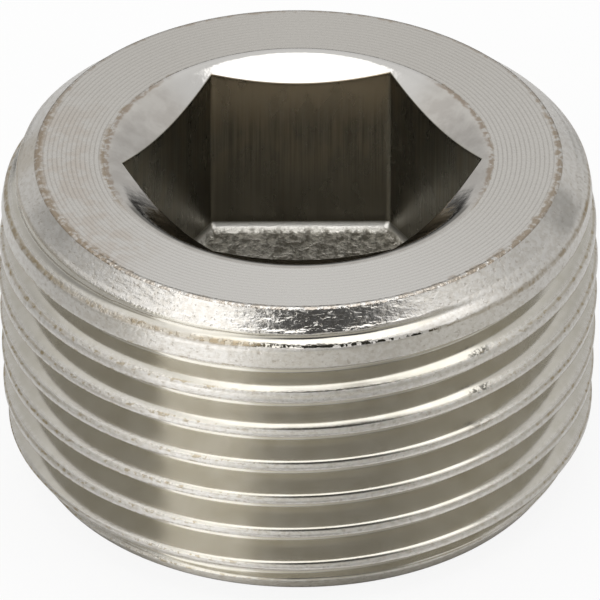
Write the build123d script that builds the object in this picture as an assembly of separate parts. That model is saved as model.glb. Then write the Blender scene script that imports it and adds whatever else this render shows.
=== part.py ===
"""Hex socket plug: a taper-threaded steel pipe plug, turned and pressed from one piece of bar.

Units are millimetres. The plug stands on its small end at Z = 0, its axis is +Z, and the hexagon has
two of its corners within half a degree of the X axis.
"""

from build123d import *
import math
import os

# Overall form
LENGTH = 18.7               # small end to driving face
SMALL_END_D = 29.45         # flat small end, inside the lead chamfer
FACE_D = 29.05              # flat driving face, inside the top chamfer

# Threaded outside, measured over the crests
CREST_D = 33.3              # largest crest diameter
CREST_DEPTH = 7.1           # where that diameter lies, down from the driving face
TAPER = 1 / 16              # loss of diameter for each millimetre below it, as on a pipe thread
UPPER_CREST_D = 32.95       # the crests draw in a little above the largest diameter
UPPER_CREST_DEPTH = 3.25
SHOULDER_D = 32.3           # foot of the chamfer round the driving face
TOP_CHAMFER_DEPTH = 1.52
LEAD_CHAMFER_HEIGHT = 2.45  # height of the long chamfer that starts the thread

# Thread form
PITCH = 2.309               # 11 threads to the inch, right-hand
THREAD_ANGLE = 55.0         # between the two flanks
THREAD_DEPTH = 1.45         # crest to root
ROOT_FLAT = 0.4             # width of the bottom of the groove
THREAD_PHASE = -90.0        # direction, in degrees from +X, in which a groove is THREAD_OFFSET deep
THREAD_OFFSET = 3.52        # groove centre below the driving face in that direction

# Hexagon socket
KEY_WIDTH = 17.2            # across flats, for a 17 mm key
SOCKET_DEPTH = 10.7         # driving face to floor
SOCKET_SHIFT = 0.2          # the punched hexagon lies this far to +X of the turned axis
SOCKET_TURN = 0.5           # and is askew by this many degrees, anticlockwise from above
FLOOR_BEVEL = 0.45          # slope left by the punch round the foot of the walls
COUNTERSINK_D = 21.3        # mouth of the countersink in the driving face
COUNTERSINK_ANGLE = 136.0   # included

CUTTER_MARGIN = 0.3         # the thread cutter stands this far out of the crests


def taper_radius(z):
    """Radius over full crests at height z, on the cone of the taper."""
    return (CREST_D - (LENGTH - CREST_DEPTH - z) * TAPER) / 2


def make_blank():
    """The turned blank: small end, lead chamfer, tapered side, drawn-in shoulder and top chamfer."""
    with BuildPart() as blank:
        with BuildSketch(Plane.XZ):
            Polygon(
                (0, 0),
                (SMALL_END_D / 2, 0),
                (taper_radius(LEAD_CHAMFER_HEIGHT), LEAD_CHAMFER_HEIGHT),
                (CREST_D / 2, LENGTH - CREST_DEPTH),
                (UPPER_CREST_D / 2, LENGTH - UPPER_CREST_DEPTH),
                (SHOULDER_D / 2, LENGTH - TOP_CHAMFER_DEPTH),
                (FACE_D / 2, LENGTH),
                (0, LENGTH),
                align=None,
            )
        revolve(axis=Axis.Z)
    return blank.part


def make_groove_turn(z):
    """One turn of the thread's V groove, as the solid that is taken away, starting at height z.

    Its four long faces are ruled between helices on cones of the thread's taper. Each turn ends in
    the very section on which the next one starts.
    """
    root = taper_radius(z) - THREAD_DEPTH
    height = THREAD_DEPTH + CUTTER_MARGIN
    half_root = ROOT_FLAT / 2
    half_mouth = half_root + height * math.tan(math.radians(THREAD_ANGLE / 2))
    section = [
        (root, -half_root),
        (root + height, -half_mouth),
        (root + height, half_mouth),
        (root, half_root),
    ]
    cone_angle = math.atan(TAPER / 2)
    slant_pitch = PITCH / math.cos(cone_angle)
    edges = [
        Helix(slant_pitch, PITCH, radius, center=(0, 0, dz), cone_angle=math.degrees(cone_angle))
        for radius, dz in section
    ]
    faces = [Face.make_surface_from_curves(edges[i - 1].edge(), edges[i].edge()) for i in range(len(edges))]
    for end in (0, 1):
        faces.append(Face(Wire.make_polygon([edge @ end for edge in edges])))
    return Location((0, 0, z), (0, 0, 1), THREAD_PHASE) * Solid(Shell(faces))


def cut_thread(blank):
    """Cut the groove turn by turn, from below the small end until it runs out in the top chamfer."""
    first_turn = -math.ceil((LENGTH - THREAD_OFFSET) / PITCH) - 1
    last_turn = math.ceil(THREAD_OFFSET / PITCH) - 1
    for turn in range(first_turn, last_turn + 1):
        blank -= make_groove_turn(LENGTH - THREAD_OFFSET + turn * PITCH)
    return blank


def make_socket():
    """The countersunk mouth and the punched hexagon, as the solid that is taken away."""
    floor = LENGTH - SOCKET_DEPTH
    hexagon = RegularPolygon(KEY_WIDTH / 2, 6, major_radius=False, rotation=SOCKET_TURN)
    punch = Location((SOCKET_SHIFT, 0, floor)) * extrude(hexagon, SOCKET_DEPTH)
    punch = chamfer(punch.faces().sort_by(Axis.Z)[0].edges(), FLOOR_BEVEL)

    cone_height = COUNTERSINK_D / 2 / math.tan(math.radians(COUNTERSINK_ANGLE / 2))
    countersink = Location((0, 0, LENGTH - cone_height / 2)) * Cone(0, COUNTERSINK_D / 2, cone_height)
    return punch + countersink


def make_plug():
    return cut_thread(make_blank()) - make_socket()


os.makedirs("parts", exist_ok=True)
plug = make_plug()
export_step(plug, "parts/plug_body.step")
print("plug_body: volume", round(plug.volume, 1), "mm3, size", plug.bounding_box().size)
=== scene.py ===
# %% [markdown]
# # A hex socket plug
# A pipe plug is one solid piece of steel: a short tapered bar with a pipe thread round it and a
# hexagonal socket pressed into its driving face. This lesson dresses the packed solid of that plug.
# Everything is in metres, in the frame of the solid: the plug stands on its small end at Z = 0.

# %% Load the packed plug
import bpy
import bmesh
import math
import numpy as np
from mathutils import Matrix, Vector


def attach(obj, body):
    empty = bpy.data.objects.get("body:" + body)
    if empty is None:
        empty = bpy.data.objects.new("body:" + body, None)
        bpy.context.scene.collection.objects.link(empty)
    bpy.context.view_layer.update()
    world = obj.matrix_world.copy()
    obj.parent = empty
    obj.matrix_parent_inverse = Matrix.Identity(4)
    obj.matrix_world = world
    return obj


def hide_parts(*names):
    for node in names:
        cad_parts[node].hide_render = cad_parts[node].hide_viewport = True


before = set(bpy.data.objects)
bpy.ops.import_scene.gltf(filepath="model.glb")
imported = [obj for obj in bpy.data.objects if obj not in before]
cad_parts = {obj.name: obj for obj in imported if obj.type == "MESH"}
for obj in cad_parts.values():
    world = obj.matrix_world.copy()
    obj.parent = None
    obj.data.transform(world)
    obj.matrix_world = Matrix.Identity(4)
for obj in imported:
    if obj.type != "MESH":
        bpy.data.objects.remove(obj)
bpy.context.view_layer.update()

# %% [markdown]
# ## The sizes of the plug
# A turned part is described by a few diameters and heights, so these are named once, in
# millimetres. The side of the plug is a chain of cones. Each cone is kept as a height, the radius
# there and the radius gained for each millimetre upwards. All of them bulge outwards, so the side
# is simply the smallest of the cones at any height.

# %% Sizes in millimetres
MM = 0.001  # metres in a millimetre
LENGTH = 18.7
SMALL_END_RADIUS, FACE_RADIUS = 14.725, 14.525
CREST_RADIUS, CREST_HEIGHT = 16.65, LENGTH - 7.1
UPPER_RADIUS, UPPER_HEIGHT = 16.475, LENGTH - 3.25
SHOULDER_RADIUS, SHOULDER_HEIGHT = 16.15, LENGTH - 1.52
LEAD_HEIGHT = 2.45
TAPER_SLOPE = 1 / 32
PITCH, THREAD_DEPTH, ROOT_FLAT = 2.309, 1.45, 0.4
FLANK_STEEPNESS = 1 / math.tan(math.radians(27.5))  # radius gained for each mm of height
GROOVE_BELOW_FACE = 3.52  # on the side that looks along -Y

COUNTERSINK_RADIUS, COUNTERSINK_SLOPE = 10.65, 1 / math.tan(math.radians(62.5))
MOUTH_ROUNDING = 0.54  # the worn edge of the countersink, measured along the face
KEY_WIDTH, SOCKET_DEPTH, SOCKET_SHIFT, FLOOR_BEVEL = 17.2, 10.7, 0.2, 0.45
SOCKET_TURN = math.radians(0.5)  # the punch was a little askew


def crest_radius(height):
    """Radius over full crests on the long taper."""
    return CREST_RADIUS - (CREST_HEIGHT - height) * TAPER_SLOPE


def cone(low, high):
    """The cone through two (height, radius) points, as (height, radius, slope)."""
    return low[0], low[1], (high[1] - low[1]) / (high[0] - low[0])


SIDE_POINTS = [(0, SMALL_END_RADIUS), (LEAD_HEIGHT, crest_radius(LEAD_HEIGHT)),
               (CREST_HEIGHT, CREST_RADIUS), (UPPER_HEIGHT, UPPER_RADIUS),
               (SHOULDER_HEIGHT, SHOULDER_RADIUS), (LENGTH, FACE_RADIUS)]
SIDE_CONES = [cone(low, high) for low, high in zip(SIDE_POINTS, SIDE_POINTS[1:])]
for height, radius, slope in SIDE_CONES:
    print(f"cone from {height:5.2f} mm, radius {radius:6.3f} mm, {slope:+.3f} per mm")

# %% [markdown]
# ## Sums on sockets
# Shapes and finishes below are sums on sockets. Placing a Math node for each sum by hand is slow to
# write and hard to read, so a small class wraps a socket and lets Python's own operators add the
# nodes. The same Math node works in a shader tree and in a Geometry Nodes tree, so one class serves
# both. Every other node comes from one method, which sets the node's settings before its sockets.

# %% A wire and a board to wire it on
class Wire:
    """An output socket that can be used in sums."""

    def __init__(self, board, socket):
        self.board, self.socket = board, socket

    def out(self, name):
        """Another output of the same node."""
        return Wire(self.board, self.socket.node.outputs[name])

    def __add__(self, other): return self.board.sum("ADD", self, other)
    def __radd__(self, other): return self.board.sum("ADD", other, self)
    def __sub__(self, other): return self.board.sum("SUBTRACT", self, other)
    def __rsub__(self, other): return self.board.sum("SUBTRACT", other, self)
    def __mul__(self, other): return self.board.sum("MULTIPLY", self, other)
    def __rmul__(self, other): return self.board.sum("MULTIPLY", other, self)
    def __truediv__(self, other): return self.board.sum("DIVIDE", self, other)
    def __rtruediv__(self, other): return self.board.sum("DIVIDE", other, self)
    def __abs__(self): return self.board.sum("ABSOLUTE", self)


class Board:
    """A node tree that is being wired."""

    def __init__(self, tree):
        self.tree = tree

    def node(self, kind, settings=None, sockets=None, out=0):
        """Adds a node: its settings, then its sockets by name or number. Gives one output."""
        made = self.tree.nodes.new(kind)
        for name, value in (settings or {}).items():
            if name == "stops":
                set_stops(made.color_ramp, value)
            else:
                setattr(made, name, value)
        for name, value in (sockets or {}).items():
            if isinstance(value, Wire):
                self.tree.links.new(value.socket, made.inputs[name])
            else:
                made.inputs[name].default_value = value
        return Wire(self, made.outputs[out]) if len(made.outputs) else made

    def sum(self, operation, *values):
        """A Math node on wires and numbers."""
        return self.node("ShaderNodeMath", {"operation": operation}, dict(enumerate(values)))


def set_stops(ramp, stops):
    """Puts (position, colour) stops on a colour ramp."""
    while len(ramp.elements) < len(stops):
        ramp.elements.new(1.0)
    for element, (position, colour) in zip(ramp.elements, stops):
        element.position, element.color = position, colour


def empty_board(owner):
    """A board on the emptied node tree of a material or a world."""
    owner.use_nodes = True
    owner.node_tree.nodes.clear()
    return Board(owner.node_tree)


print("wires ready:", [name for name in vars(Wire) if name.startswith("__r")])

# %% [markdown]
# ## The threaded side, by Geometry Nodes
# A thread could be made with a Screw modifier, or cut with a helical cutter. The first leaves no
# run-out at the chamfers and the second leaves ragged little faces. The surface follows a rule,
# though: at each height and angle its radius is the smaller of the plain side and the nearest
# groove. So a flat grid is bent round the axis, and each of its points is sent to that radius.
#
# If the rows of the grid lay flat, the groove's edge would cross them at a tiny angle and look like
# a staircase. So between the chamfers the rows climb with the thread, one pitch in a turn, and on
# the chamfers they lie flat. Rows held in one place are merged at the end, and so is the seam.

# %% The tree's inputs
COLUMNS = 300  # a multiple of six, so that the hexagon's corners fall on columns
ROWS_PER_TURN = 22
CHAMFER_ROWS = 20
FACE_EDGE, SMALL_EDGE = 0.12, 0.10  # rounding left at the two ends of the side

groove_at_x = LENGTH - GROOVE_BELOW_FACE + PITCH / 4
turns_below = math.ceil((groove_at_x - PITCH / 2 + PITCH - LEAD_HEIGHT) / PITCH)
first_row = groove_at_x - PITCH / 2 - turns_below * PITCH
TURNS = math.ceil((SHOULDER_HEIGHT - first_row) / PITCH)
SKIN_SIZES = {"Pitch": PITCH, "Thread Depth": THREAD_DEPTH, "Root Flat": ROOT_FLAT,
              "Groove Height": groove_at_x, "First Row": first_row,
              "Bottom": SMALL_EDGE, "Lead Height": LEAD_HEIGHT,
              "Shoulder Height": SHOULDER_HEIGHT, "Top": LENGTH - FACE_EDGE * 0.8,
              "Edge Rounding": 0.10, "Root Rounding": 0.12, "Crest Rounding Above": 0.18,
              "Crest Rounding Below": 0.22, "Lip Rounding": 0.06, "Lip Slope": 0.72,
              "Lip Facet": 0.02, "Upper Lip Facet": 0.15,
              "Last Turn Lift": 0.09, "Last Turn Depth": 1.2, "Depth Lost at Face": 0.5}
SKIN_COUNTS = {"Columns": COLUMNS, "Rows per Turn": ROWS_PER_TURN, "Turns": TURNS,
               "Chamfer Rows": CHAMFER_ROWS}
print("rows climb", TURNS, "turns from", round(first_row, 3), "mm")

# %% [markdown]
# ### The heights of the rows
# The tree starts with named inputs, so a size can be changed without touching a node. Then each row
# of the flat grid gets its height. Evenly spaced rows would waste points on the plain flanks, so a
# sine wave crowds them together at the root and at both edges of the crest, where the form turns.

# %% Named inputs and row heights
CROWDING, CROWDS_PER_TURN = 0.6, 3


def start_skin_tree():
    """A Geometry Nodes tree with its named inputs. Gives its board and the inputs' wires."""
    tree = bpy.data.node_groups.new("threaded_side", "GeometryNodeTree")
    tree.interface.new_socket("Geometry", in_out="OUTPUT", socket_type="NodeSocketGeometry")
    for name in SKIN_SIZES:
        tree.interface.new_socket(name, in_out="INPUT", socket_type="NodeSocketFloat")
    for name in SKIN_COUNTS:
        tree.interface.new_socket(name, in_out="INPUT", socket_type="NodeSocketInt")
    tree.interface.new_socket("Material", in_out="INPUT", socket_type="NodeSocketMaterial")
    board = Board(tree)
    first = board.node("NodeGroupInput")
    return board, {s.name: first.out(s.name) for s in first.socket.node.outputs if s.name}


def row_heights(board, given, row):
    """Height of each grid row: flat rows up the lead chamfer, climbing rows, flat rows again."""
    clamped = {"use_clamp": True, "operation": "DIVIDE"}
    lead = board.node("ShaderNodeMath", clamped, {0: row, 1: given["Chamfer Rows"]})
    climb_row = (row - given["Chamfer Rows"]) / given["Rows per Turn"]
    wave = CROWDS_PER_TURN * 2 * math.pi
    crowded = climb_row + board.sum("SINE", climb_row * wave) * (CROWDING / wave)
    climb = given["First Row"] + given["Pitch"] * (crowded + given["turn"])
    climb = board.sum("MAXIMUM", climb, given["Lead Height"])
    climb = board.sum("MINIMUM", climb, given["Shoulder Height"])
    top_row = row - given["Chamfer Rows"] - given["Rows per Turn"] * given["Turns"]
    top = board.node("ShaderNodeMath", clamped, {0: top_row, 1: given["Chamfer Rows"]})
    return (given["Bottom"] + lead * (given["Lead Height"] - given["Bottom"])
            + climb - given["Lead Height"] + top * (given["Top"] - given["Shoulder Height"]))


print("rows in all:", ROWS_PER_TURN * TURNS + 2 * CHAMFER_ROWS)

# %% [markdown]
# ### The plain side and the groove
# Two radii compete at each point: that of the plain side, and that of the groove's face as if it
# went on outwards. The groove repeats with the pitch, so the height above its nearest middle is
# found by wrapping. The last turn is different. It lies a little higher and shallower, and nothing
# is left above it, because the die broke out of the chamfer there. A last turn that is only cut off
# by the chamfer would keep a sharp flank that the real plug doesn't have.

# %% The plain side and the groove
# The last turn's own form comes and goes over these shares of a turn, counted from +X.
OWN_FORM_FROM, OWN_FORM_TO = (0.38, 0.47), (0.88, 0.96)
FADE_HEIGHTS = (LENGTH - 0.98, LENGTH - 0.74)  # a groove whose middle is here runs out


def side_radius(board, given, height):
    """Radius of the plain side: the smallest of its cones, with a little rounding between."""
    radius = None
    for cone_height, cone_radius, slope in SIDE_CONES:
        here = (height - cone_height) * slope + cone_radius
        radius = here if radius is None else board.sum(
            "SMOOTH_MIN", radius, here, given["Edge Rounding"])
    return radius


def soft_step(value, low, high):
    """0 below low, 1 above high and a smooth climb between them."""
    return value.board.node("ShaderNodeMapRange", {"interpolation_type": "SMOOTHSTEP"},
                            {"Value": value, "From Min": low, "From Max": high})


def between(value, rise, fall):
    """1 between two soft steps, one up and one down, each as (low, high)."""
    return soft_step(value, *rise) * (1 - soft_step(value, *fall))


def groove_radius(board, given, height):
    """Radius of the groove's faces, as if they went on outwards, and height above its middle."""
    pitch, turn = given["Pitch"], given["turn"]
    above = board.sum("WRAP", height - given["Groove Height"] - pitch * turn,
                      pitch * 0.5, pitch * -0.5)
    last_middle = pitch * (turn - 0.75) + (LENGTH - GROOVE_BELOW_FACE) + pitch
    on_last = (board.sum("GREATER_THAN", height, last_middle - pitch * 0.5)
               * board.sum("GREATER_THAN", turn, 0.25))
    own_form = between(turn, OWN_FORM_FROM, OWN_FORM_TO)
    above_last = height - last_middle - given["Last Turn Lift"] * own_form
    above = above + (above_last - above) * on_last
    open_above = on_last * own_form * board.sum("GREATER_THAN", above, 0.0)
    depth = (given["Thread Depth"]
             + (given["Last Turn Depth"] - given["Thread Depth"]) * on_last * own_form)
    depth = depth - given["Depth Lost at Face"] * soft_step(height - above, *FADE_HEIGHTS)
    root = (height - CREST_HEIGHT) * TAPER_SLOPE + CREST_RADIUS - depth
    rise = (abs(above) - given["Root Flat"] * 0.5) * FLANK_STEEPNESS
    flank = root + rise * (1 - open_above)
    return board.sum("SMOOTH_MAX", root, flank, given["Root Rounding"]), above


print("groove depth:", THREAD_DEPTH, "mm, and", SKIN_SIZES["Last Turn Depth"], "on the last turn")

# %% [markdown]
# ### Bending the grid
# Each point is sent to the smaller of the two radii, and a smooth minimum rounds the crest's edges.
# A groove's lower lip is rolled over as well, into a narrow facet that is wider on the upper turns.
# Two numbers are stored on the points for the finish. They are kept while the grid is still flat,
# because the sums read the flat grid's own places.

# %% Bend the grid round the axis
FACET_HEIGHTS = (LENGTH - 10, LENGTH - 5)  # over which the facet gets its full width
OUT_OF_THE_WAY = 9  # mm added to the facet's radius above a groove
MERGED = 1e-6  # metres, to close the grid's seam


def build_skin_tree():
    """The whole tree, from the flat grid to the steel skin."""
    board, given = start_skin_tree()
    rows = given["Rows per Turn"] * given["Turns"] + given["Chamfer Rows"] * 2
    grid = board.node("GeometryNodeMeshGrid", {}, {
        "Size X": 1.0, "Size Y": 1.0, "Vertices X": given["Columns"] + 1, "Vertices Y": rows + 1})
    place = board.node("ShaderNodeSeparateXYZ", {}, {0: board.node("GeometryNodeInputPosition")})
    given["turn"] = place.out("X") + 0.5
    row = board.sum("ROUND", (place.out("Y") + 0.5) * rows)
    height = row_heights(board, given, row)
    groove, above = groove_radius(board, given, height)
    below = board.sum("LESS_THAN", above, 0.0)
    rounding = (given["Crest Rounding Above"] * (1 - below)
                + given["Crest Rounding Below"] * below)
    side = side_radius(board, given, height)
    facet = given["Lip Facet"] + (given["Upper Lip Facet"] - given["Lip Facet"]) * soft_step(
        height, *FACET_HEIGHTS)
    lip = side + (groove - side) * given["Lip Slope"] - facet
    lip = board.sum("SMOOTH_MIN", groove, lip, given["Lip Rounding"])
    lip = lip + (1 - below) * OUT_OF_THE_WAY
    radius = board.sum("SMOOTH_MIN", side, board.sum("MINIMUM", groove, lip), rounding)
    angle = given["turn"] * (2 * math.pi)
    around = board.node("ShaderNodeCombineXYZ", {}, {
        "X": radius * board.sum("COSINE", angle), "Y": radius * board.sum("SINE", angle),
        "Z": height})
    metres = board.node("ShaderNodeVectorMath", {"operation": "SCALE"},
                        {0: around, "Scale": MM})
    for name, value in (("groove_gap", groove - side), ("above_middle", above)):
        grid = board.node("GeometryNodeStoreNamedAttribute", {"data_type": "FLOAT"}, {
            "Geometry": grid, "Name": name, "Value": value})
    bent = board.node("GeometryNodeSetPosition", {}, {"Geometry": grid, "Position": metres})
    closed = board.node("GeometryNodeMergeByDistance", {}, {"Geometry": bent, "Distance": MERGED})
    smooth = board.node("GeometryNodeSetShadeSmooth", {}, {"Geometry": closed})
    plain = board.node("GeometryNodeRealizeInstances", {}, {"Geometry": smooth})
    steel = board.node("GeometryNodeSetMaterial", {}, {"Geometry": plain,
                                                       "Material": given["Material"]})
    board.node("NodeGroupOutput", {}, {"Geometry": steel})
    return board.tree


skin_tree = build_skin_tree()
print("the thread's tree:", len(skin_tree.nodes), "nodes")

# %% [markdown]
# ### Running the tree
# A modifier runs the tree on an empty mesh. Its inputs are set by each socket's identifier, since
# two sockets may share a name. The result is kept as a plain mesh and the modifier is removed: the
# rest of the plug is to be joined on by hand, which a live modifier wouldn't allow.

# %% Run the tree
def add_object(name, data):
    """An object in the scene that holds a mesh or a camera."""
    made = bpy.data.objects.new(name, data)
    bpy.context.scene.collection.objects.link(made)
    return made


def plain_mesh(tree, values, name):
    """Runs a tree on an empty mesh and gives the result as a plain mesh."""
    carrier = add_object(name, bpy.data.meshes.new(name))
    modifier = carrier.modifiers.new("nodes", "NODES")
    modifier.node_group = tree
    for socket in tree.interface.items_tree:
        if socket.in_out == "INPUT" and socket.name in values:
            modifier[socket.identifier] = values[socket.name]
    graph = bpy.context.evaluated_depsgraph_get()
    mesh = bpy.data.meshes.new_from_object(carrier.evaluated_get(graph))
    carrier.modifiers.remove(modifier)
    bpy.data.objects.remove(carrier)
    return mesh


thread_steel = bpy.data.materials.new("thread_steel")
skin = plain_mesh(skin_tree, {**SKIN_SIZES, **SKIN_COUNTS, "Material": thread_steel},
                  "threaded_side")
print("threaded side:", len(skin.vertices), "points,", len(skin.polygons), "faces")

# %% [markdown]
# ## The driving face, the socket and the small end
# The rest of the plug is rings of points: circles on the face and the countersink, hexagons in the
# socket. Rings on the same columns as the thread join up without a gap. A pressed hexagon leaves
# its walls standing on the countersink's cone, so the mouth of the socket is scalloped: the height
# of each point comes from the cone at that point's own radius. Two close rings at each edge keep a
# small rounding there, and one more ring beside them keeps the flat parts flat under smooth
# shading.

# %% Two kinds of ring, and the countersink
turn_angles = np.arange(COLUMNS) * 2 * math.pi / COLUMNS


def circle(radius, height):
    """A ring round the plug's axis."""
    return np.column_stack([radius * np.cos(turn_angles), radius * np.sin(turn_angles),
                            np.full(COLUMNS, float(height))])


def hexagon(inset, height=0.0):
    """A ring on the socket's hexagon, drawn in by inset. Its corners lie along X."""
    in_sector = np.mod(turn_angles, math.pi / 3) - math.pi / 6
    reach = (KEY_WIDTH / 2 - inset) / np.cos(in_sector)
    turned_angles = turn_angles + SOCKET_TURN
    return np.column_stack([SOCKET_SHIFT + reach * np.cos(turned_angles),
                            reach * np.sin(turned_angles), np.full(COLUMNS, float(height))])


def on_countersink(ring, below=0.0):
    """The same ring, with each point on the countersink: a rounded edge, then a cone."""
    ring = ring.copy()
    inwards = COUNTERSINK_RADIUS - np.hypot(ring[:, 0], ring[:, 1])
    rounded = np.clip(inwards, 0, MOUTH_ROUNDING)
    depth = rounded ** 2 / (2 * MOUTH_ROUNDING) + (inwards - rounded)
    ring[:, 2] = LENGTH - depth * COUNTERSINK_SLOPE - below
    return ring


print("a socket corner is", round(hexagon(0)[:, 0].max(), 2), "mm from the axis")

# %% All the rings, from the outside inwards
EDGE = 0.09  # half width of the small rounding beside a sharp turn
MOUTH_EDGE, BEVEL_EDGE, FLOOR_EDGE = 0.04, 0.03, 0.04  # the socket's own are sharper
LAST_INSET, LAST_RADIUS = 4.5, 7.0  # of the rings round the floor's and the end's middle
lip, mouth = circle(COUNTERSINK_RADIUS, 0), hexagon(-MOUTH_EDGE)
floor_height = LENGTH - SOCKET_DEPTH
slant_start = floor_height + FLOOR_BEVEL
wall_start = LENGTH - 1.6  # just under the deepest of the mouth's scallops
face_rings = [circle(FACE_RADIUS + FACE_EDGE * 0.35, LENGTH - FACE_EDGE * 0.2),
              circle(FACE_RADIUS - FACE_EDGE * 0.5, LENGTH),
              circle(FACE_RADIUS - FACE_EDGE * 1.6, LENGTH),
              circle(COUNTERSINK_RADIUS + EDGE * 3, LENGTH),
              circle(COUNTERSINK_RADIUS + EDGE, LENGTH)]
cone_rings = [on_countersink(lip + (mouth - lip) * share)
              for share in (0, 0.08, 0.16, 0.26, 0.4, 0.55, 0.7, 0.85, 0.95, 1)]
wall_rings = [on_countersink(hexagon(-MOUTH_EDGE * 0.25), MOUTH_EDGE * 0.15),
              on_countersink(hexagon(0), MOUTH_EDGE), on_countersink(hexagon(0), EDGE * 3)]
wall_rings += [hexagon(0, slant_start + share * (wall_start - slant_start))
               for share in (1, 0.6, 0.3, 0.06)]
wall_rings.append(hexagon(0, slant_start + BEVEL_EDGE))
floor_rings = [hexagon(BEVEL_EDGE, slant_start - BEVEL_EDGE),
               hexagon(FLOOR_BEVEL * 0.5, floor_height + FLOOR_BEVEL * 0.5),
               hexagon(FLOOR_BEVEL - FLOOR_EDGE, floor_height + FLOOR_EDGE),
               hexagon(FLOOR_BEVEL + FLOOR_EDGE, floor_height),
               hexagon(FLOOR_BEVEL + 0.2, floor_height), hexagon(LAST_INSET, floor_height)]
end_rings = [circle(SMALL_END_RADIUS + 0.01, SMALL_EDGE * 0.35),
             circle(SMALL_END_RADIUS - SMALL_EDGE, 0),
             circle(SMALL_END_RADIUS - SMALL_EDGE * 3, 0), circle(LAST_RADIUS, 0)]
print("rings:", len(face_rings + cone_rings + wall_rings + floor_rings + end_rings))

# %% [markdown]
# ## One closed shell
# The thread and the rings become one shell with a material slot for each finish. The export turns
# it into one solid mesh, so it has to be closed, and its faces have to point outwards.

# %% Faces between rings
FINISHES = ["thread_steel", "face_steel", "countersink_steel", "wall_steel", "floor_steel",
            "end_steel"]


def bridge(shell, outer, inner, finish):
    """Faces between two rings of points that lie on the same columns."""
    for here in range(COLUMNS):
        after = (here + 1) % COLUMNS
        face = shell.faces.new((outer[here], outer[after], inner[after], inner[here]))
        face.material_index, face.smooth = FINISHES.index(finish), True


def add_rings(shell, start, bands, middle):
    """Builds bands of rings inwards from start, then closes them on a middle point."""
    last = start
    for finish, rings in bands:
        for ring in rings:
            points = [shell.verts.new(point) for point in ring * MM]
            bridge(shell, last, points, finish)
            last = points
    centre = shell.verts.new(Vector(middle) * MM)
    for here in range(COLUMNS):
        face = shell.faces.new((last[here], last[(here + 1) % COLUMNS], centre))
        face.material_index, face.smooth = FINISHES.index(bands[-1][0]), True


print("faces in a band:", COLUMNS)

# %% Join everything into one shell
NO_LENGTH = 1e-8  # metres


def rim_of(shell, top):
    """The open edge of the threaded side, as points in order round the axis."""
    half_way = LENGTH / 2 * MM
    rim = [v for v in shell.verts if v.is_boundary and (v.co.z > half_way) == top]
    # A point on the +X axis may lie a hair below it, and still has to come first.
    return sorted(rim, key=lambda v: math.atan2(v.co.y, v.co.x) % (2 * math.pi - 1e-5))


shell = bmesh.new()
shell.from_mesh(skin)
for face in shell.faces:
    face.material_index = FINISHES.index("thread_steel")
top_rim, bottom_rim = rim_of(shell, True), rim_of(shell, False)
print("rims:", len(top_rim), len(bottom_rim), "points")
add_rings(shell, top_rim, [("face_steel", face_rings), ("countersink_steel", cone_rings),
                           ("wall_steel", wall_rings), ("floor_steel", floor_rings)],
          (SOCKET_SHIFT, 0, floor_height))
add_rings(shell, bottom_rim, [("end_steel", end_rings)], (0, 0, 0))
bmesh.ops.dissolve_degenerate(shell, dist=NO_LENGTH, edges=shell.edges)
bmesh.ops.recalc_face_normals(shell, faces=shell.faces)
if shell.calc_volume(signed=True) < 0:
    bmesh.ops.reverse_faces(shell, faces=shell.faces)
open_edges = sum(not edge.is_manifold for edge in shell.edges)
print("volume, mm3:", round(shell.calc_volume(signed=True) * 1e9, 1), "open edges:", open_edges)
plug_mesh = bpy.data.meshes.new("plug")
shell.to_mesh(plug_mesh)
shell.free()
plug = add_object("plug", plug_mesh)
print("plug:", len(plug_mesh.polygons), "faces,",
      sum(len(p.vertices) - 2 for p in plug_mesh.polygons), "triangles")

# %% [markdown]
# ## Steel, and how each face of it was made
# The whole plug is one bare steel, so its faces differ only in how they were made: turned rings on
# the face, a smooth thread with rough crests, broach marks down the socket's walls. One flat metal
# colour would lose that, and a picture wrapped round it would blur. Each finish here is worked out
# from the place on the plug, in millimetres, so every mark has its real size and stays in place.
#
# A few helpers start a finish, make speckle, mix colours and end the finish with its bump. Masks
# are numbers from 0 to 1, made by soft_step, between and near, and are joined by multiplying. The
# limits of a mask are millimetres for a length, degrees for a side and shares for a noise.

# %% Helpers for the finishes
STEEL = (0.590, 0.568, 0.530, 1)  # bare steel, freshly turned
DEGREES = 180 / math.pi  # in a radian


def start_finish(name):
    """A cleared material. Gives the place on the plug, in millimetres."""
    material = bpy.data.materials.get(name) or bpy.data.materials.new(name)
    board = empty_board(material)
    metres = board.node("ShaderNodeTexCoord", out="Object")
    return board.node("ShaderNodeVectorMath", {"operation": "SCALE"}, {0: metres, "Scale": 1000})


def around_from_front(x, y):
    """Degrees round from -Y towards +X."""
    return x.board.sum("ARCTAN2", x, y * -1) * DEGREES


def cylindrical(place):
    """Radius, side in degrees round from the front, and height of a place."""
    parts = place.board.node("ShaderNodeSeparateXYZ", {}, {0: place})
    x, y = parts.out("X"), parts.out("Y")
    return place.board.sum("SQRT", x * x + y * y), around_from_front(x, y), parts.out("Z")


def speckle(place, fineness, detail=3.0, roughness=0.55, shift=0.0):
    """Noise from 0 to 1. Fineness is the grains in a millimetre: one number, or one each way."""
    each_way = fineness if isinstance(fineness, tuple) else (fineness,) * 3
    fine = place.board.node("ShaderNodeVectorMath", {"operation": "MULTIPLY_ADD"},
                            {0: place, 1: each_way, 2: (shift, shift, shift)})
    return place.board.node("ShaderNodeTexNoise", {}, {
        "Vector": fine, "Scale": 1.0, "Detail": detail, "Roughness": roughness})


def blend(share, first, second):
    """A colour between two colours. The Mix node's colours are its sockets 6, 7 and 2."""
    return share.board.node("ShaderNodeMix", {"data_type": "RGBA"},
                            {0: share, 6: first, 7: second}, out=2)


def near(value, middle, half_width):
    """1 where a value is at middle, and 0 from half_width away."""
    return 1 - soft_step(abs(value - middle) / half_width, 0.3, 1)


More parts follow.
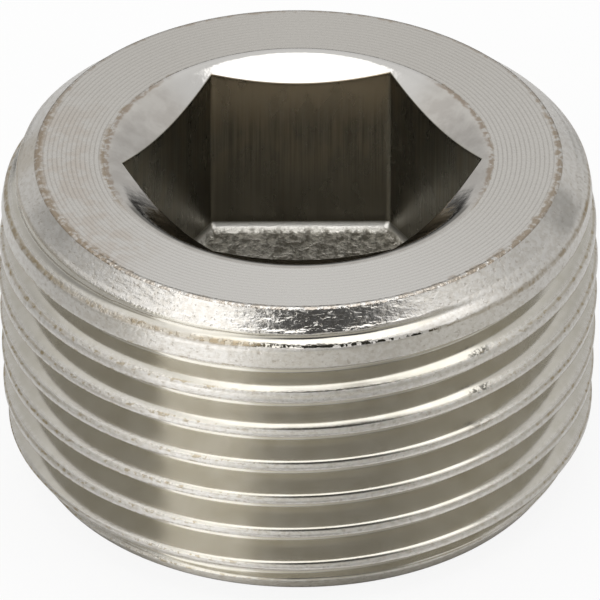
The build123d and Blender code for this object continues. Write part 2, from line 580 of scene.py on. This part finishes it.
def turned(travel, feed, nose=0.8):
    """Height of the rings that a round-nosed tool leaves when it moves on by feed in each turn."""
    across = (travel.board.sum("FRACT", travel / feed) - 0.5) * feed
    return across * across / (2 * nose)


def end_finish(colour, roughness, height, anisotropic=0.0):
    """Ends a finish. The height is in millimetres, so the bump's distance is a thousandth."""
    board = colour.board
    bump = board.node("ShaderNodeBump", {}, {"Strength": 1.0, "Distance": MM,
                                             "Height": height})
    steel = board.node("ShaderNodeBsdfPrincipled", {}, {
        "Base Color": colour, "Metallic": 1.0, "Roughness": roughness, "Normal": bump,
        "Anisotropic": anisotropic, "Anisotropic Rotation": 0.25})
    board.node("ShaderNodeOutputMaterial", {}, {"Surface": steel})
    print(board.tree.name, "finish:", len(board.tree.nodes), "nodes")


# %% [markdown]
# ## The thread's finish: flanks and crests
# A thread is cut by a hard, sharp die, so its flanks are smooth and a little oily, and they mirror
# each other. The crests still have the rougher, paler skin of the turned bar. A painted picture
# would have to follow the helix by hand. Instead the tree that made the thread left two numbers on
# each point: how far the groove's face is outside the plain side, and how far the point is above
# the groove's middle. So this finish knows a flank from a crest everywhere along the helix.
#
# Away from the front the lips of the crests are worn, so the crest's skin goes on down the flank
# below them.

# %% Flanks and crests
FLANK, OILY_FLANK = (0.585, 0.560, 0.500, 1), (0.540, 0.513, 0.445, 1)
CREST, DULL_CREST = (0.690, 0.668, 0.630, 1), (0.600, 0.570, 0.520, 1)
PIT = (0.330, 0.285, 0.230, 1)

place = start_finish("thread_steel")
board = place.board
side, height = cylindrical(place)[1:]
below_face = LENGTH - height
gap = board.node("ShaderNodeAttribute", {"attribute_name": "groove_gap"}, out="Fac")
above = board.node("ShaderNodeAttribute", {"attribute_name": "above_middle"}, out="Fac")
grain = speckle(place, (5, 5, 7))
cloud = speckle(place, (0.7, 0.7, 1.2), 2.0)
streak = speckle(place, (0.25, 0.25, 9))
mottle = speckle(place, (3.0, 3.0, 4.0), 4.0, 0.65, shift=9.0)
pits = soft_step(speckle(place, (3.4, 3.4, 4.5), 2.0, shift=9.0), 0.60, 0.70)

crest = soft_step(gap, -0.02, 0.06)
lip = near(gap, 0.02, 0.18)
at_sides = (1 - soft_step(side, -34, -20)) + soft_step(side, 34, 44)
worn = (soft_step(gap, -0.50, -0.10) * (1 - crest) * at_sides
        * (1 - soft_step(above, -0.1, 0.1)))
flank = blend(soft_step(cloud, 0.35, 0.7), FLANK, OILY_FLANK)
skin_colour = blend(soft_step(mottle, 0.36, 0.60), DULL_CREST, CREST)
skin_colour = blend(pits * 0.4 * crest, skin_colour, PIT)
colour = blend(board.sum("MAXIMUM", crest, worn * 0.7), flank, skin_colour)
print("flanks and crests:", len(board.tree.nodes), "nodes")

# %% [markdown]
# ## The torn edge at the shoulder
# The last turn of the thread broke out through the chamfer. The die tore a thin edge there, first
# along the last groove's lower lip and then along the chamfer's foot, and black and brown dirt has
# stayed in it. The edge is a narrow band round one depth below the face. A noise lets that depth
# wander a little, and a second noise breaks the band up into dots.

# %% The torn edge
SOOT, BROWN_DIRT = (0.030, 0.028, 0.022, 1), (0.300, 0.235, 0.145, 1)
EDGE_DEPTH, EDGE_DEPTH_BEHIND = 1.56, 1.55  # below the face
EDGE_FALL = 0.0098  # for each degree round to the left

high_up = soft_step(height, SHOULDER_HEIGHT + 0.1, SHOULDER_HEIGHT + 0.35)
wobble = (speckle(place, 1.2, shift=4.0) - 0.5) * 0.16
edge_depth = EDGE_DEPTH + board.sum("MAXIMUM", -5 - side, 0.0) * EDGE_FALL
edge_width = (0.08 + 0.13 * soft_step(side, 30, 50)
              + 0.08 * (1 - soft_step(side, -14, -4)))
torn_front = near(below_face + wobble, edge_depth, edge_width) * soft_step(side, -125, -105)
torn_behind = (near(below_face + wobble, EDGE_DEPTH_BEHIND, 0.08)
               * (1 - soft_step(side, -140, -130)))
torn = board.sum("MAXIMUM", torn_front, torn_behind)
dots = soft_step(speckle(place, (3.6, 3.6, 0.8), shift=2.0), 0.44, 0.56)
black = between(side, (-12, -4), (24, 34))
right = soft_step(side, 30, 50)
dirty = torn * (0.55 + 0.45 * soft_step(cloud, 0.38, 0.58) + black)
smudged = near(side, 75, 10) * 0.35
dirty = dirty * ((0.45 - 0.06 * right + smudged) * (1 - black) + dots * (0.40 + 0.45 * black))
colour = blend(dirty, colour, blend(black, BROWN_DIRT, SOOT))
print("with the torn edge:", len(board.tree.nodes), "nodes")

# %% [markdown]
# ## Marks, dirt and painted shade on the crests
# Where the die was stopped and backed off, it left a black mark on the upper lips. Yellow-brown
# dirt lies in flecks along the upper edges of the crests, most of it on the left. Both are masks on
# the gap and the side, broken up by a noise, so they stay on the lips all round the helix. At the
# two sides an even band of painted shade lies along the crests' edges, in the same yellow-brown.

# %% Marks, dirt and painted shade
YELLOW_DIRT_AND_SHADE = (0.360, 0.290, 0.180, 1)
BACK_OFF_SIDE = 37.5

mark = near(side, BACK_OFF_SIDE, 3.5) * near(gap, -0.1, 0.3) * (1 - high_up)
mark = mark * soft_step(grain, 0.44, 0.54) * soft_step(height, 8.0, 12.0)
colour = blend(mark * 0.8, colour, SOOT)
dirt_and_crest_shade = near(gap, 0.05, 0.22) * soft_step(below_face, 1.9, 2.4)
flecks = speckle(place, (2.6, 2.6, 3.2), 3.0, 0.6, shift=12.0)
dirt_and_crest_shade = dirt_and_crest_shade * soft_step(flecks, 0.52, 0.62)
dirt_and_crest_shade = dirt_and_crest_shade * (0.25 + 0.75 * (1 - soft_step(side, -20, 0)) + 0.5 * right)
# painted shade: an even dark band along the crests' edges at the two sides, in the dirt's colour
dirt_and_crest_shade = dirt_and_crest_shade + near(gap, 0.03, 0.14) * soft_step(abs(side), 46, 60) * 0.5
colour = blend(dirt_and_crest_shade * 0.7, colour, YELLOW_DIRT_AND_SHADE)
print("with marks and dirt:", len(board.tree.nodes), "nodes")

# %% [markdown]
# ## The chamfer
# The chamfer is a little hollow, with a raised lip at its foot. In front the tool tore it in bright
# and dark blotches, and elsewhere it left it smooth. A blotch is a tilt of the surface, not a
# colour, so the blotches are bumps: they light up and go dark as the plug is turned. The crests'
# grain, the worn lips and the torn edge are bumps as well. Each noise has a half taken off it, so
# that it goes up as much as down, and its mask leaves no step at its border.
#
# Fingers have left a grey smudge on the chamfer at each side. The flank under the shoulder is
# rougher on the right, where the last turn was torn and not cut.

# %% The chamfer, and the end of the thread's finish
SMUDGE = (0.290, 0.275, 0.248, 1)

torn_skin = between(side, (-50, -28), (16, 34))
blotches = speckle(place, (0.8, 0.8, 3.3), 2.5, shift=5.0)
hollow = (board.sum("MINIMUM", below_face, 0.8) * -0.055
          + soft_step(below_face, 0.78, 1.05) * 0.022)
chamfer = crest * high_up
polished = chamfer * torn_skin
smudge = near(side, 74, 10) + near(side, -66, 11) * 0.6
smudge = smudge * chamfer * (0.55 + 0.45 * soft_step(cloud, 0.32, 0.62))
colour = blend(smudge * 0.6, colour, SMUDGE)
colour = blend(near(side, -94, 10) * chamfer * 0.35, colour, YELLOW_DIRT_AND_SHADE)
ragged = (1 - crest) * soft_step(height, LENGTH - 2.2, LENGTH - 1.9) * soft_step(side, 18, 32)
roughness = (0.12 + 0.04 * streak + crest * (0.10 + 0.12 * grain) * (1 - polished * 0.95)
             - polished * 0.05 + worn * 0.14 + ragged * 0.22
             + near(gap, 0.13, 0.15) * (1 - high_up) * 0.16)
rough_lip = 0.006 + 0.035 * (1 - soft_step(side, -32, -18))
bumps = (streak * 0.0012
         + crest * ((grain - 0.5) * 0.012 + (mottle - 0.5) * 0.012 - pits * 0.006)
         + worn * ((grain - 0.5) * 0.016 + (mottle - 0.5) * 0.016)
         + lip * (grain - 0.5) * rough_lip
         + chamfer * (blotches - 0.5) * (0.006 + 0.070 * torn_skin)
         + high_up * hollow + torn * (dots - 0.5) * (0.012 + 0.014 * black))
end_finish(colour, roughness, bumps, anisotropic=0.3)

# %% [markdown]
# ## The face's finish: stains
# Handling and damp have left brown stains along both edges of the face, wider on the left and on
# the right than elsewhere. A stain is a band along an edge. Its border wanders with one noise, and
# a finer noise breaks it up. A faint brown wash covers the left of the face. The steel is also
# painted a shade paler in front and a shade darker behind: painted light and shade.

# %% Stains on the face
FACE_STEEL, LIT_FRONT_STEEL = (0.555, 0.535, 0.500, 1), (0.640, 0.622, 0.590, 1)
SHADED_BACK_STEEL, STAIN = (0.500, 0.478, 0.440, 1), (0.300, 0.235, 0.165, 1)
WASH = (0.450, 0.360, 0.280, 1)

place = start_finish("face_steel")
board = place.board
radius, side = cylindrical(place)[:2]
grain = speckle(place, 6)
patch = speckle(place, 1.1, shift=3.0)
edge_wave = (speckle(place, 1.6, 2.0, shift=7.0) - 0.5) * 0.6
from_outer = FACE_RADIUS - radius
from_inner = radius - COUNTERSINK_RADIUS
left = between(side, (-125, -100), (-50, -35))
right = between(side, (28, 45), (100, 125))
outer_band = 1 - soft_step(from_outer + edge_wave, 0.04 + 0.12 * left + 0.10 * right,
                           0.24 + 0.26 * left + 0.14 * right)
beside = between(abs(side), (55, 75), (130, 150))
inner_band = beside * (1 - soft_step(from_inner + edge_wave * 0.7, 0.06 + 0.10 * left,
                                     0.22 + 0.22 * left))
stained = board.sum("MAXIMUM", outer_band * (0.55 + 0.30 * left + 0.25 * right),
                    inner_band * 0.85)
broken_up = soft_step(speckle(place, 2.6), 0.36, 0.54)
stained = stained * broken_up
colour = blend(soft_step(grain, 0.35, 0.65), FACE_STEEL, STEEL)
# painted light and shade: the steel paler in front and darker behind
lit_in_front = 1 - soft_step(abs(side), 20, 75)
colour = blend(lit_in_front * 0.9, colour, LIT_FRONT_STEEL)
colour = blend(0.5 * soft_step(abs(side), 100, 150), colour, SHADED_BACK_STEEL)
wash = left * soft_step(patch, 0.38, 0.62) * soft_step(from_inner, 0.4, 1.6)
colour = blend(wash * 0.30, colour, WASH)
print("stains on the face:", len(board.tree.nodes), "nodes")

# %% [markdown]
# ## The face's finish: turning rings
# The face was turned on a lathe. The round nose of the tool moved in by about a quarter of a
# millimetre in each turn, and left rings with that spacing. They catch light at the two sides,
# where they tilt towards the lamps. A ring texture could fake them, but its profile isn't that of a
# tool, so the height is worked out from the tool's nose. A fine dark line lies where two passes
# meet. Knocks have bruised the outer edge in front and the inner one behind. A bruise is a bump
# that is smoother than the steel round it.

# %% Turning rings and bruises
FACE_FEED, FACE_NOSE = 0.257, 1.6  # the tool's step in each turn, and its nose's radius
LINE = (0.300, 0.275, 0.245, 1)

travel = radius + (patch - 0.5) * 0.03
meeting = abs(board.sum("FRACT", travel / FACE_FEED) - 0.5)
seen_from_side = abs(board.sum("SINE", side * (math.pi / 180)))
ring_depth = (0.04 + 0.40 * seen_from_side) * (0.4 + 1.1 * patch)
colour = blend(ring_depth * soft_step(meeting, 0.26, 0.48), colour, LINE)
colour = blend(stained, colour, STAIN)
rings = turned(travel, FACE_FEED, FACE_NOSE) * (0.4 + 0.6 * seen_from_side)
bruise_behind = soft_step(abs(side), 110, 130) * (1 - soft_step(from_inner, 0.03, 0.15))
bruise_in_front = (1 - soft_step(from_outer, 0.05, 0.22)) * (1 - soft_step(abs(side), 46, 60))
bruise = board.sum("MAXIMUM", bruise_in_front, bruise_behind)
knocks = speckle(place, 4.5, 2.0, shift=6.0)
end_finish(colour, 0.25 + 0.06 * grain - 0.10 * bruise,
           rings + grain * (0.006 - 0.003 * seen_from_side) + bruise * knocks * 0.07,
           anisotropic=0.3)

# %% [markdown]
# ## The countersink's finish
# The countersink was cut in one pass by a cone-shaped cutter, so it is much smoother than the face,
# with rings so close that they only soften what it mirrors. Behind, it mirrors the overhead lamp,
# and its colour is painted paler there as well, a painted highlight. In front it is painted nearly
# black, a painted reflection of the dark socket. The stain beside the mouth goes over the face's
# edge and on down here, so it is measured from that same edge.

# %% The countersink's finish
CLOUDY, CLEAR = (0.475, 0.450, 0.415, 1), (0.545, 0.522, 0.485, 1)
PAINTED_HIGHLIGHT, RUST, PAINTED_DARK_REFLECTION = (0.600, 0.585, 0.560, 1), (0.280, 0.215, 0.155, 1), (0.085, 0.080, 0.066, 1)
CUTTER_FEED, CUTTER_NOSE = 0.16, 16.0

place = start_finish("countersink_steel")
radius, side = cylindrical(place)[:2]
inwards = COUNTERSINK_RADIUS - radius
grain = speckle(place, 4)
patch = speckle(place, 0.9, shift=3.0)
edge_wave = (speckle(place, 1.6, 2.0, shift=7.0) - 0.5) * 0.4
beside = between(abs(side), (60, 80), (130, 148))
inner_band = beside * (1 - soft_step(inwards + edge_wave, 0.05, 0.22))
colour = blend(soft_step(patch, 0.35, 0.65), CLOUDY, CLEAR)
broken_up = soft_step(speckle(place, 2.6), 0.36, 0.54)
colour = blend(inner_band * 0.75 * broken_up, colour, RUST)
# painted highlight: a paler colour behind, where the overhead lamp is mirrored
colour = blend(soft_step(abs(side), 128, 142), colour, PAINTED_HIGHLIGHT)
# painted reflection: nearly black in front, where the dark socket is mirrored
painted_reflection = 1 - soft_step(abs(side) + (patch - 0.5) * 10, 60, 69)
painted_reflection = painted_reflection * soft_step(inwards, 0.10, 0.24)
colour = blend(painted_reflection * 0.85, colour, PAINTED_DARK_REFLECTION)
end_finish(colour, 0.05 + 0.10 * patch,
           turned(radius, CUTTER_FEED, CUTTER_NOSE) + grain * 0.0015 + patch * 0.02)

# %% [markdown]
# ## The socket's walls
# A hexagonal punch was pushed straight down, so the walls carry fine lines along its stroke. A
# noise that is fine across the stroke and fifty times coarser along it gives such lines. The walls'
# colours carry painted light and shade: the back wall is a paler grey copy and the others a darker
# brown one, the back wall is painted paler and warmer towards the mouth, and all of them are
# painted darker low down.

# %% The socket's walls
LIT_GREY, LIT_PALE_GREY = (0.225, 0.216, 0.180, 1), (0.335, 0.320, 0.272, 1)
SHADED_BROWN, SHADED_PALE_BROWN = (0.150, 0.137, 0.108, 1), (0.242, 0.221, 0.178, 1)
LIT_WARM_MOUTH, SMEAR, DEEP_SHADE = ((0.510, 0.430, 0.320, 1), (0.360, 0.290, 0.190, 1),
                             (0.120, 0.111, 0.088, 1))

place = start_finish("wall_steel")
side, height = cylindrical(place)[1:]
lines = speckle(place, (8, 8, 0.16), 3.0, 0.6)
smear = speckle(place, (0.8, 0.8, 0.35), shift=3.0)
at_back = soft_step(abs(side), 149, 151)
near_mouth = soft_step(height, LENGTH - 4.4, LENGTH - 0.8)
shade_low_down = 1 - soft_step(height, floor_height + 1.5, floor_height + 6.5)
line_share = soft_step(lines, 0.30, 0.70)
# painted light and shade: the back wall gets paler grey colours, the other walls darker brown ones
colour = blend(at_back, blend(line_share, LIT_GREY, LIT_PALE_GREY),
               blend(line_share, SHADED_BROWN, SHADED_PALE_BROWN))
# painted light: the back wall paler and warmer towards the mouth
lit_mouth = near_mouth * at_back * (0.72 + 0.28 * soft_step(smear, 0.35, 0.6))
colour = blend(lit_mouth, colour, LIT_WARM_MOUTH)
colour = blend(soft_step(smear, 0.45, 0.66) * 0.25, colour, SMEAR)
# painted shade: every wall darker low down in the socket
colour = blend(shade_low_down * (0.72 + 0.16 * at_back), colour, DEEP_SHADE)
end_finish(colour, 0.22 + 0.12 * smear, lines * 0.006 + smear * 0.010)

# %% [markdown]
# ## The socket's floor
# The floor is as rough as the end of the drilled hole that it was pressed from: a mottle of dark
# pits and bright points, darker towards the middle. The bright points are painted glints. The bevel
# round it was smeared smooth by the punch, and its near-white colour is a painted highlight, with a
# painted shade along its upper edge where the wall begins.

# %% The socket's floor
FLOOR_PIT, FLOOR_GLINT, FLOOR_MIDDLE = ((0.300, 0.282, 0.240, 1), (0.950, 0.920, 0.850, 1),
                                        (0.240, 0.225, 0.190, 1))
BEVEL_HIGHLIGHT, BEVEL_TOP_SHADE = (0.880, 0.860, 0.810, 1), (0.260, 0.245, 0.210, 1)

place = start_finish("floor_steel")
radius, _, height = cylindrical(place)
above_floor = height - floor_height
mottle = speckle(place, 2.2, 4.0, 0.65)
patch = speckle(place, 0.9, 2.0, shift=3.0)
bevel = soft_step(above_floor + (mottle - 0.5) * 0.3, 0.04, 0.30)
bevel_top_shade = soft_step(above_floor, 0.30, 0.45)
# the mottle's bright points are painted glints
colour = blend(soft_step(mottle, 0.38, 0.62), FLOOR_PIT, FLOOR_GLINT)
inner = 1 - soft_step(radius, 6.2, 8.0)
colour = blend(inner * 0.22, colour, FLOOR_MIDDLE)
# painted highlight on the bevel
colour = blend(bevel * 0.85, colour, BEVEL_HIGHLIGHT)
# painted shade along the bevel's upper edge, in the crease below the wall
colour = blend(bevel_top_shade * 0.8, colour, BEVEL_TOP_SHADE)
end_finish(colour, 0.34 + 0.1 * patch, mottle * (0.16 - 0.14 * bevel))

# %% [markdown]
# ## The small end's finish
# The plug stands on its small end, which was faced on the lathe like the driving face and has been
# handled less. So it has the same kind of rings and grain, with a few faint brown patches. The
# shell's faces hold slot numbers, so the materials are then added to it in that order.

# %% The small end's finish
END_STEEL, END_PATCH, END_FEED = (0.520, 0.500, 0.465, 1), (0.420, 0.360, 0.290, 1), 0.25

place = start_finish("end_steel")
radius = cylindrical(place)[0]
grain = speckle(place, 5)
patch = speckle(place, 0.5, shift=3.0)
colour = blend(soft_step(grain, 0.35, 0.65), END_STEEL, STEEL)
colour = blend(0.3 * soft_step(patch, 0.5, 0.7), colour, END_PATCH)
end_finish(colour, 0.28 + 0.08 * grain, turned(radius, END_FEED) + grain * 0.003,
           anisotropic=0.3)

# %% Give the shell its finishes
for name in FINISHES:
    plug_mesh.materials.append(bpy.data.materials[name])
print("finishes:", [material.name for material in plug_mesh.materials])

# %% [markdown]
# ## The studio
# Polished steel has almost no colour of its own: it shows what stands round it. The plug stands in
# a white tent with a large soft lamp over it, another soft panel at its front left, and a darker
# gap at the front, where the camera looks in. A few area lamps would light it too, but the plug
# would mirror the empty dark between them. So the tent is painted on the world: one ramp goes round
# its lower wall, one round its upper wall, and one says where the overhead lamp begins. Each ramp
# lists (side, value), with the side in degrees round from the front.
#
# Behind the plug there is a dark slot between the tent and the floor. The front of the countersink
# mirrors it at a low angle. The camera never sees the tent itself: to its rays the world is white.

# %% The tent round the plug
LOWER_WALL = [(-180, 0.76), (-135, 0.66), (-105, 0.42), (-72, 0.42), (-57, 0.56), (-54.5, 1.74),
              (-23, 1.70), (-17, 1.02), (-8, 0.78), (8, 0.62), (25, 0.44), (36, 0.43), (46, 0.50),
              (80, 0.57), (105, 0.56), (135, 0.66), (180, 0.76)]
UPPER_WALL = [(-180, 0.94), (-135, 0.90), (-105, 1.00), (-80, 1.15), (-64, 1.45), (-45, 1.65),
              (-35, 1.50), (-24, 1.10), (-17, 0.50), (-10, 0.15), (0, 0.08), (30, 0.10), (40, 0.20),
              (48, 0.60), (58, 1.15), (80, 1.20), (105, 0.80), (180, 0.94)]
LAMP_EDGE = [(-180, 65), (-112, 65), (-105, 66), (-80, 65), (-66, 66), (-60, 68), (-35, 65),
             (-22, 66), (-16, 71), (38, 71), (45, 68), (56, 67), (66, 61), (75, 55), (85, 52),
             (95, 54), (100, 61), (105, 66), (112, 65), (180, 65)]
LAMP_STRENGTH = 2.1
LARGEST_WALL, LARGEST_EDGE = 2.0, 90.0  # the ramps hold shares of these
WALL_CHANGE = (28, 46)  # elevations where the lower wall turns into the upper
SLOT_SIDE, SLOT_TOP, SLOT_DARKNESS = (148, 156), (3, 11), 0.95

world = bpy.data.worlds.new("studio")
bpy.context.scene.world = world
sky = empty_board(world)
direction = sky.node("ShaderNodeTexCoord", out="Generated")
parts = sky.node("ShaderNodeSeparateXYZ", {}, {0: direction})
elevation = sky.sum("ARCSINE", parts.out("Z")) * DEGREES
side = around_from_front(parts.out("X"), parts.out("Y"))


def ramp_round(values, largest):
    """A value that changes with the side. The ramp holds shares of the largest value."""
    stops = [((at + 180) / 360, (value / largest,) * 3 + (1,)) for at, value in values]
    return sky.node("ShaderNodeValToRGB", {"stops": stops}, {0: side / 360 + 0.5}) * largest


lower, upper = ramp_round(LOWER_WALL, LARGEST_WALL), ramp_round(UPPER_WALL, LARGEST_WALL)
lamp_edge = ramp_round(LAMP_EDGE, LARGEST_EDGE)
wall = lower + (upper - lower) * soft_step(elevation, *WALL_CHANGE)
lamp = soft_step(elevation - lamp_edge, -2, 2)
strength = wall + (LAMP_STRENGTH - wall) * lamp
slot = soft_step(abs(side), *SLOT_SIDE) * (1 - soft_step(elevation, *SLOT_TOP))
strength = strength * (1 - slot * SLOT_DARKNESS)
warm = ((1 - soft_step(elevation, 18, 32)) * (1 - soft_step(strength, 0.9, 1.3))
        * (1 - soft_step(abs(side), 70, 105)))
tint = blend(warm, (1, 1, 1, 1), (1, 0.97, 0.88, 1))
light = sky.node("ShaderNodeBackground", {}, {"Color": tint, "Strength": strength})
white = sky.node("ShaderNodeBackground", {}, {"Color": (1, 1, 1, 1), "Strength": 1.0})
seen = sky.node("ShaderNodeLightPath", out="Is Camera Ray")
mixed = sky.node("ShaderNodeMixShader", {}, {0: seen, 1: light, 2: white})
sky.node("ShaderNodeOutputWorld", {}, {"Surface": mixed})
wall_values = [value for _, value in LOWER_WALL + UPPER_WALL]
print("tent: walls", min(wall_values), "to", max(wall_values), "lamp", LAMP_STRENGTH)

# %% [markdown]
# ## The floor
# The plug stands on a sheet of pale, smooth board. To the camera it is nearly white, so the picture
# keeps a clean ground and a faint shadow. To the steel it is a half-glossy board that mirrors the
# tent's wall, because the undersides of the thread look down at it.

# %% The floor
FLOOR_REACH, FLOOR_DROP = 3.0, 0.00005  # it lies a hair under the plug, so they don't flicker
FLOOR_GLOSS, FLOOR_GLOW = 0.7, 0.88
corners = [(-FLOOR_REACH, -FLOOR_REACH, 0), (FLOOR_REACH, -FLOOR_REACH, 0),
           (FLOOR_REACH, FLOOR_REACH, 0), (-FLOOR_REACH, FLOOR_REACH, 0)]
floor_mesh = bpy.data.meshes.new("floor")
floor_mesh.from_pydata(corners, [], [(0, 1, 2, 3)])
floor = add_object("floor", floor_mesh)
floor.location.z = -FLOOR_DROP
floor_board = bpy.data.materials.new("floor_board")
board = empty_board(floor_board)
seen = board.node("ShaderNodeLightPath", out="Is Camera Ray")
matt = board.node("ShaderNodeBsdfDiffuse", {}, {"Color": (0.86, 0.86, 0.86, 1)})
shine = board.node("ShaderNodeBsdfAnisotropic", {}, {"Color": (0.95, 0.95, 0.95, 1),
                                                     "Roughness": 0.12})
half_gloss = board.node("ShaderNodeMixShader", {}, {0: FLOOR_GLOSS, 1: matt, 2: shine})
to_steel = board.node("ShaderNodeMixShader", {}, {0: seen, 1: half_gloss, 2: matt})
glow = board.node("ShaderNodeEmission", {}, {"Color": (1, 1, 1, 1), "Strength": 1.0})
surface = board.node("ShaderNodeMixShader", {}, {0: seen * FLOOR_GLOW, 1: to_steel, 2: glow})
board.node("ShaderNodeOutputMaterial", {}, {"Surface": surface})
floor_mesh.materials.append(floor_board)
print("floor:", 2 * FLOOR_REACH, "m square")

# %% [markdown]
# ## The camera
# The plug is seen from a little over its front, from more than a metre away, through a very long
# lens, so its far rim looks nearly as wide as its near one. The lens is described in pixels of the
# picture that the plug has to fill. The aim is set by turning the camera a little, so that no shift
# is needed.

# %% Camera
ELEVATION, DISTANCE, ROLL = math.radians(34.5), 1.114, math.radians(0.1)
FOCAL_PIXELS, PICTURE = 20146, 600
AIM_PIXEL = (298.45, 157.5)

lens = bpy.data.cameras.new("camera")
lens.sensor_width = 36
lens.lens = FOCAL_PIXELS * lens.sensor_width / PICTURE
camera = add_object("camera", lens)
face_centre = Vector((0, 0, LENGTH * MM))
back = Vector((0, -math.cos(ELEVATION), math.sin(ELEVATION)))
right, up = Vector((1, 0, 0)), Vector((0, math.sin(ELEVATION), math.cos(ELEVATION)))
axes = Matrix((right, up, back)).transposed()
turn = Matrix.Rotation(math.atan((PICTURE / 2 - AIM_PIXEL[0]) / FOCAL_PIXELS), 3, "Y").inverted()
tilt = Matrix.Rotation(math.atan((AIM_PIXEL[1] - PICTURE / 2) / FOCAL_PIXELS), 3, "X")
rotation = axes @ Matrix.Rotation(ROLL, 3, "Z") @ turn @ tilt
camera.matrix_world = (Matrix.Translation(face_centre + back * DISTANCE)
                       @ rotation.to_4x4())
lens.clip_start, lens.clip_end = 0.01, 20
bpy.context.scene.camera = camera
bpy.context.scene.view_settings.view_transform = "Standard"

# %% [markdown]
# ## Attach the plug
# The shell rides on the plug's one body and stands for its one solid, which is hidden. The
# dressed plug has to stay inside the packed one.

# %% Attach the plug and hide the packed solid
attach(plug, "root")
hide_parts("plug_body")
